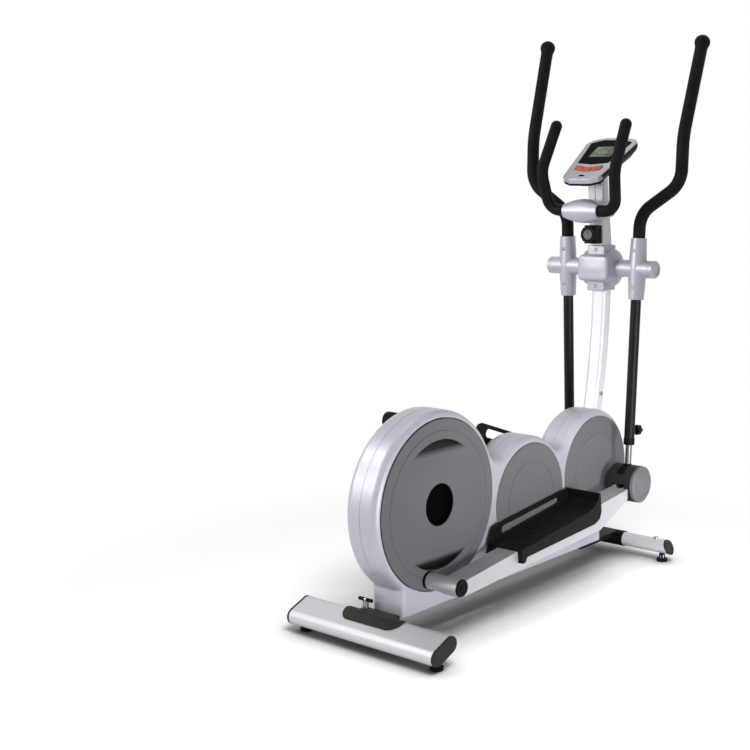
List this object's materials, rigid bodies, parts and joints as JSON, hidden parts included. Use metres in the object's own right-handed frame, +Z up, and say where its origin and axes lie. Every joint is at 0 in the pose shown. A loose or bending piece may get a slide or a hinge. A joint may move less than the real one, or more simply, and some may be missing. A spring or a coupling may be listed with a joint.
{
  "type": "elliptical cross trainer",
  "caption": "Standing cross trainer with swinging handles, gliding footplates on a crank drum, an enclosed flywheel, a curved mast with a console, and levelling stabilisers.",
  "frame": {"origin": "centre of the outline on the floor under the machine", "axes": "+X to the user's right, +Y the way the user faces, towards the console, +Z up"},
  "size_m": [0.5679, 1.2883, 1.6389],
  "materials": {
    "silver_moulding": "silver paint on moulded plastic",
    "grey_moulding": "satin grey plastic",
    "black_moulding": "fine grained black plastic",
    "aluminium": "satin anodised",
    "silver_metal": "silver powder coat",
    "black_metal": "black powder coat",
    "steel": "plated",
    "foam": "black foam sleeve",
    "rubber": "black rubber",
    "iron": "turned and oiled",
    "lens": "tinted clear window",
    "key": "orange red keys"
  },
  "bodies": {
    "base": {"rear_stabilizer": "aluminium", "front_stabilizer": "aluminium", "stabilizer_caps": "black_moulding", "rear_saddle": "black_moulding", "front_clamp": "black_moulding", "main_frame": "black_metal", "housing_right": "silver_moulding", "housing_left": "silver_moulding", "mid_covers": "grey_moulding", "front_covers": "grey_moulding", "crank_bearings": "steel", "drive_belt": "rubber", "mast": "silver_metal", "pivot_block": "silver_moulding", "pivot_axle": "steel", "axle_caps": "grey_moulding", "console_back": "black_moulding", "console_bezel": "silver_moulding", "console_window": "lens", "head_post": "silver_moulding", "knob_box": "black_moulding", "handle_fairing": "silver_moulding", "fixed_horns": "foam"},
    "crank": {"crank_disc_right": "grey_moulding", "crank_disc_left": "grey_moulding", "hub_caps": "black_moulding", "crank_axle": "steel", "drive_pulley": "grey_moulding"},
    "wheel": {"flywheel": "iron", "flywheel_shaft": "steel"},
    "yoke": {"brake_yoke": "black_metal"},
    "knob": {"resistance_knob": "black_moulding"},
    "screw": {"hand_screw": "steel"},
    "arm_right": {"arm_sleeve_right": "silver_moulding", "arm_tube_right": "black_metal", "handle_grip_right": "foam"},
    "arm_knob_right": {"arm_knob_right": "black_moulding"},
    "lower_arm_right": {"lower_arm_right": "steel"},
    "pedal_right": {"pedal_bar_right": "silver_metal", "crank_pin_right": "steel", "pivot_cover_right": "black_moulding", "pivot_bolt_right": "grey_moulding", "pedal_plate_right": "black_moulding"},
    "rear_foot_right": {"rear_foot_right": "rubber"},
    "front_foot_right": {"front_foot_right": "rubber"},
    "arm_left": {"arm_sleeve_left": "silver_moulding", "arm_tube_left": "black_metal", "handle_grip_left": "foam"},
    "arm_knob_left": {"arm_knob_left": "black_moulding"},
    "lower_arm_left": {"lower_arm_left": "steel"},
    "pedal_left": {"pedal_bar_left": "silver_metal", "crank_pin_left": "steel", "pivot_cover_left": "black_moulding", "pivot_bolt_left": "grey_moulding", "pedal_plate_left": "black_moulding"},
    "rear_foot_left": {"rear_foot_left": "rubber"},
    "front_foot_left": {"front_foot_left": "rubber"},
    "key_left": {"key_left": "key"},
    "key_centre": {"key_centre": "key"},
    "key_right": {"key_right": "key"}
  },
  "joints": [
    {"name": "flywheel_turn", "type": "hinge", "parent": "base", "child": "wheel", "pos_m": [0, 0.03607, 0.283], "axis": [1, 0, 0], "continuous": true},
    {"name": "crank_turn", "type": "hinge", "parent": "base", "child": "crank", "pos_m": [0, -0.377, 0.347], "axis": [1, 0, 0], "continuous": true},
    {"name": "brake_yoke_tilt", "type": "hinge", "parent": "base", "child": "yoke", "pos_m": [0, 0.1617, 0.21899], "axis": [1, 0, 0], "range_deg": [-9.1, 0.1]},
    {"name": "resistance_knob_turn", "type": "hinge", "parent": "base", "child": "knob", "pos_m": [0, 0.41108, 1.0305], "axis": [0, 1, 0], "range_deg": [-270, 0]},
    {"name": "hand_screw_turn", "type": "hinge", "parent": "base", "child": "screw", "pos_m": [-0.05, -0.554, 0.1], "axis": [0, 0, 1], "range_deg": [0, 360]},
    {"name": "arm_right_swing", "type": "hinge", "parent": "base", "child": "arm_right", "pos_m": [0, 0.49007, 0.926], "axis": [1, 0, 0], "range_deg": [-12.5, 18]},
    {"name": "lower_arm_right_slide", "type": "slide", "parent": "arm_right", "child": "lower_arm_right", "axis": [0, 0.0573, 0.9984], "range_m": [0, 0.04]},
    {"name": "pedal_right_pivot", "type": "hinge", "parent": "lower_arm_right", "child": "pedal_right", "pos_m": [0, 0.45206, 0.26309], "axis": [1, 0, 0], "range_deg": [-18, 12.5]},
    {"name": "arm_knob_right_turn", "type": "hinge", "parent": "arm_right", "child": "arm_knob_right", "pos_m": [0.128, 0.49522, 0.42188], "axis": [0, 0.9984, -0.0573], "range_deg": [0, 360]},
    {"name": "rear_foot_right_turn", "type": "hinge", "parent": "base", "child": "rear_foot_right", "pos_m": [0.227, -0.597, 0.005], "axis": [0, 0, 1], "continuous": true},
    {"name": "front_foot_right_turn", "type": "hinge", "parent": "base", "child": "front_foot_right", "pos_m": [0.201, 0.55207, 0.005], "axis": [0, 0, 1], "continuous": true},
    {"name": "arm_left_swing", "type": "hinge", "parent": "base", "child": "arm_left", "pos_m": [0, 0.49007, 0.926], "axis": [1, 0, 0], "range_deg": [-18, 12.5]},
    {"name": "lower_arm_left_slide", "type": "slide", "parent": "arm_left", "child": "lower_arm_left", "axis": [0, -0.0374, 0.9993], "range_m": [0, 0.04]},
    {"name": "pedal_left_pivot", "type": "hinge", "parent": "lower_arm_left", "child": "pedal_left", "pos_m": [0, 0.51494, 0.26247], "axis": [1, 0, 0], "range_deg": [-12.5, 18]},
    {"name": "arm_knob_left_turn", "type": "hinge", "parent": "arm_left", "child": "arm_knob_left", "pos_m": [-0.128, 0.54289, 0.42463], "axis": [0, 0.9993, 0.0374], "range_deg": [0, 360]},
    {"name": "rear_foot_left_turn", "type": "hinge", "parent": "base", "child": "rear_foot_left", "pos_m": [-0.227, -0.597, 0.005], "axis": [0, 0, 1], "continuous": true},
    {"name": "front_foot_left_turn", "type": "hinge", "parent": "base", "child": "front_foot_left", "pos_m": [-0.201, 0.55207, 0.005], "axis": [0, 0, 1], "continuous": true},
    {"name": "key_left_press", "type": "slide", "parent": "base", "child": "key_left", "axis": [0, 0.515, -0.8572], "range_m": [0, 0.001], "stiffness_N_per_m": 400, "springref_m": -0.001},
    {"name": "key_centre_press", "type": "slide", "parent": "base", "child": "key_centre", "axis": [0, 0.515, -0.8572], "range_m": [0, 0.001], "stiffness_N_per_m": 400, "springref_m": -0.001},
    {"name": "key_right_press", "type": "slide", "parent": "base", "child": "key_right", "axis": [0, 0.515, -0.8572], "range_m": [0, 0.001], "stiffness_N_per_m": 400, "springref_m": -0.001}
  ],
  "couplings": [
    {"joint": "crank_turn", "follows": "flywheel_turn", "ratio": 0.16784},
    {"joint": "brake_yoke_tilt", "follows": "resistance_knob_turn", "ratio": 0.033333},
    {"joint": "pedal_right_pivot", "follows": "arm_right_swing", "ratio": -1},
    {"joint": "pedal_left_pivot", "follows": "arm_right_swing", "ratio": 1},
    {"joint": "arm_left_swing", "follows": "arm_right_swing", "ratio": -1}
  ]
}
